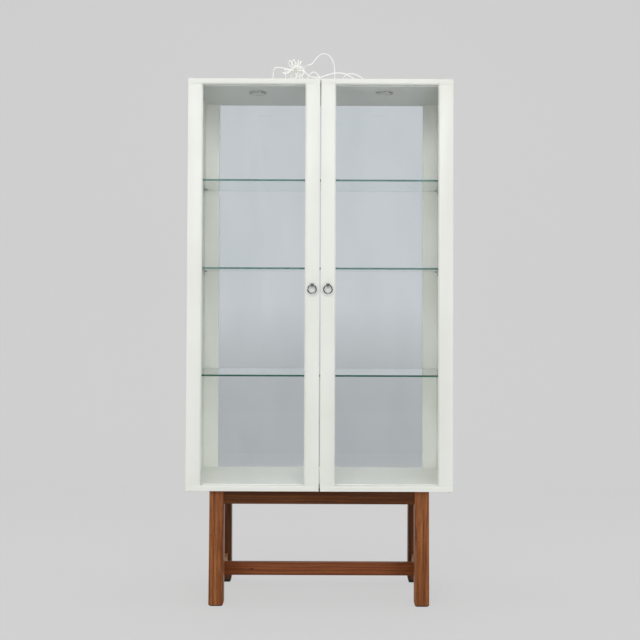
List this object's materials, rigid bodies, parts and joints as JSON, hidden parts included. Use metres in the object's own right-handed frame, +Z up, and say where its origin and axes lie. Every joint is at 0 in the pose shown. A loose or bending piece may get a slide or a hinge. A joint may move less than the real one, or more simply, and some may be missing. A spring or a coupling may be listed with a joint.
{
  "type": "display cabinet",
  "caption": "Tall white display cabinet with two framed glass doors, glass shelves and spotlights, on a brown wooden stand with an H stretcher.",
  "frame": {"origin": "On the floor, under the middle of the cabinet's overall box.", "axes": "+X is to the cabinet's right seen from the front, the doors face -Y, +Z is up."},
  "size_m": [0.9, 0.42, 1.8936],
  "materials": {
    "white_lacquer": "satin",
    "clear_glass": "polished",
    "shelf_glass": "polished",
    "zinc_alloy": "satin",
    "white_plastic": "satin",
    "clear_rubber": "satin",
    "polished_chrome": "polished",
    "brushed_nickel": "brushed",
    "frosted_lens": "frosted",
    "cast_aluminium": "cast",
    "stained_beech": "satin",
    "black_plastic": "matte",
    "white_cable": "satin",
    "white_tie": "satin"
  },
  "bodies": {
    "case": {"apron_front": "stained_beech", "apron_rear": "stained_beech", "back_glass": "clear_glass", "back_stile_left": "white_lacquer", "back_stile_right": "white_lacquer", "bottom_panel": "white_lacquer", "cable_covers": "white_plastic", "cam_fittings": "zinc_alloy", "door_buffers": "clear_rubber", "feet": "black_plastic", "hank_tie": "white_tie", "hole_caps": "white_plastic", "junction_box": "white_plastic", "lamp_lead_left": "white_cable", "lamp_lead_right": "white_cable", "leg_front_left": "stained_beech", "leg_front_right": "stained_beech", "leg_rear_left": "stained_beech", "leg_rear_right": "stained_beech", "magnet_catches": "white_plastic", "pivot_hinges": "zinc_alloy", "plug": "white_plastic", "shelf_lower": "shelf_glass", "shelf_middle": "shelf_glass", "shelf_supports": "zinc_alloy", "shelf_upper": "shelf_glass", "side_panel_left": "white_lacquer", "side_panel_right": "white_lacquer", "side_rail_lower_left": "stained_beech", "side_rail_lower_right": "stained_beech", "side_rail_upper_left": "stained_beech", "side_rail_upper_right": "stained_beech", "spotlight_bezels": "brushed_nickel", "spotlight_housings": "cast_aluminium", "spotlight_lenses": "frosted_lens", "stand_bolts": "zinc_alloy", "stretcher": "stained_beech", "supply_hank": "white_cable", "supply_lead": "white_cable", "top_panel": "white_lacquer"},
    "door_left": {"door_left_bushes": "white_plastic", "door_left_glass": "clear_glass", "door_left_glazing_strips": "white_lacquer", "door_left_pull_post": "polished_chrome", "door_left_rail_bottom": "white_lacquer", "door_left_rail_top": "white_lacquer", "door_left_stile_inner": "white_lacquer", "door_left_stile_outer": "white_lacquer", "door_left_strike_plate": "zinc_alloy"},
    "door_right": {"door_right_bushes": "white_plastic", "door_right_glass": "clear_glass", "door_right_glazing_strips": "white_lacquer", "door_right_pull_post": "polished_chrome", "door_right_rail_bottom": "white_lacquer", "door_right_rail_top": "white_lacquer", "door_right_stile_inner": "white_lacquer", "door_right_stile_outer": "white_lacquer", "door_right_strike_plate": "zinc_alloy"},
    "ring_left": {"door_left_pull_ring": "polished_chrome"},
    "ring_right": {"door_right_pull_ring": "polished_chrome"}
  },
  "joints": [
    {"name": "door_left", "type": "hinge", "parent": "case", "child": "door_left", "pos_m": [-0.442, -0.182, 1.085], "axis": [0, 0, -1], "range_deg": [0, 110]},
    {"name": "door_right", "type": "hinge", "parent": "case", "child": "door_right", "pos_m": [0.442, -0.182, 1.085], "axis": [0, 0, 1], "range_deg": [0, 110]},
    {"name": "ring_left", "type": "hinge", "parent": "door_left", "child": "ring_left", "pos_m": [-0.0268, -0.2038, 1.0815], "axis": [-1, 0, 0], "range_deg": [-22, 202]},
    {"name": "ring_right", "type": "hinge", "parent": "door_right", "child": "ring_right", "pos_m": [0.0268, -0.2038, 1.0815], "axis": [-1, 0, 0], "range_deg": [-22, 202]}
  ]
}
